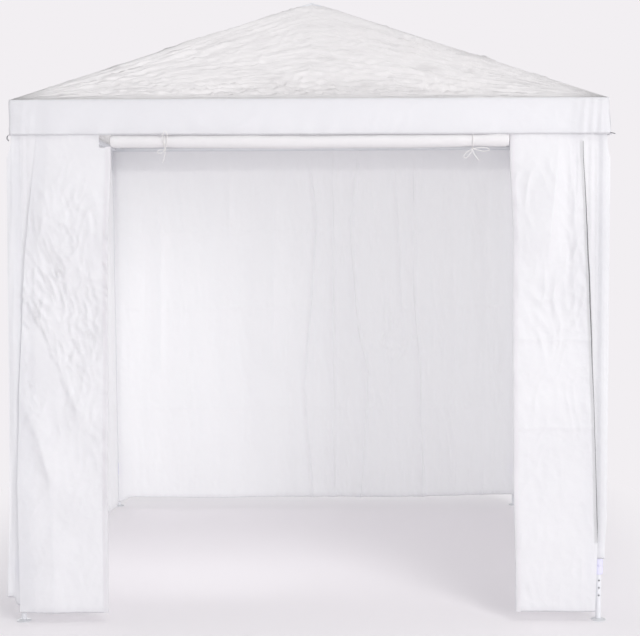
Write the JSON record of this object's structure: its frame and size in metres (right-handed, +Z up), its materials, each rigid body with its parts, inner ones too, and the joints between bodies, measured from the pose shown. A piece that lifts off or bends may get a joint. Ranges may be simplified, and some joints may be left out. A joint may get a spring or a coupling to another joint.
{
  "type": "garden gazebo",
  "caption": "Square party gazebo: steel tube frame with telescoping legs, pyramid cloth roof with skirt, cloth walls and a rolled-up front door.",
  "frame": {"origin": "on the ground under the apex, at the middle of the square of feet", "axes": "+Z up, -Y out of the doorway, +X to the right for someone who faces the doorway"},
  "size_m": [2.5378, 2.5378, 2.8519],
  "materials": {
    "cloth": "coated woven sheet",
    "steel": "powder coated",
    "plastic": "moulded",
    "string": "twisted string",
    "loop": "cord loop"
  },
  "bodies": {
    "root": {"apex_hub": "steel", "back_wall": "cloth", "connector_back_left": "steel", "connector_back_right": "steel", "connector_front_left": "steel", "connector_front_right": "steel", "door_roll": "cloth", "door_tie_left": "string", "door_tie_right": "string", "door_tie_tail_left": "string", "door_tie_tail_right": "string", "eave_bar_back": "steel", "eave_bar_front": "steel", "eave_bar_left": "steel", "eave_bar_right": "steel", "front_wall": "cloth", "guy_loop_back_left": "loop", "guy_loop_back_right": "loop", "guy_loop_front_left": "loop", "guy_loop_front_right": "loop", "leg_back_left": "steel", "leg_back_right": "steel", "leg_bracket_back_left": "plastic", "leg_bracket_back_right": "plastic", "leg_bracket_front_left": "plastic", "leg_bracket_front_right": "plastic", "leg_front_left": "steel", "leg_front_right": "steel", "rafter_back_left": "steel", "rafter_back_right": "steel", "rafter_front_left": "steel", "rafter_front_right": "steel", "roof_back": "cloth", "roof_front": "cloth", "roof_left": "cloth", "roof_right": "cloth", "side_wall_left": "cloth", "side_wall_right": "cloth", "skirt_back": "cloth", "skirt_front": "cloth", "skirt_left": "cloth", "skirt_right": "cloth"},
    "foot_front_left": {"inner_leg_front_left": "steel", "foot_plate_front_left": "steel"},
    "foot_front_right": {"inner_leg_front_right": "steel", "foot_plate_front_right": "steel"},
    "foot_back_right": {"inner_leg_back_right": "steel", "foot_plate_back_right": "steel"},
    "foot_back_left": {"inner_leg_back_left": "steel", "foot_plate_back_left": "steel"}
  },
  "joints": [
    {"name": "leg_height_front_left", "type": "slide", "parent": "root", "child": "foot_front_left", "axis": [0, 0, 1], "range_m": [-0.064, 0.128]},
    {"name": "leg_height_front_right", "type": "slide", "parent": "root", "child": "foot_front_right", "axis": [0, 0, 1], "range_m": [-0.064, 0.128]},
    {"name": "leg_height_back_right", "type": "slide", "parent": "root", "child": "foot_back_right", "axis": [0, 0, 1], "range_m": [-0.064, 0.128]},
    {"name": "leg_height_back_left", "type": "slide", "parent": "root", "child": "foot_back_left", "axis": [0, 0, 1], "range_m": [-0.064, 0.128]}
  ]
}
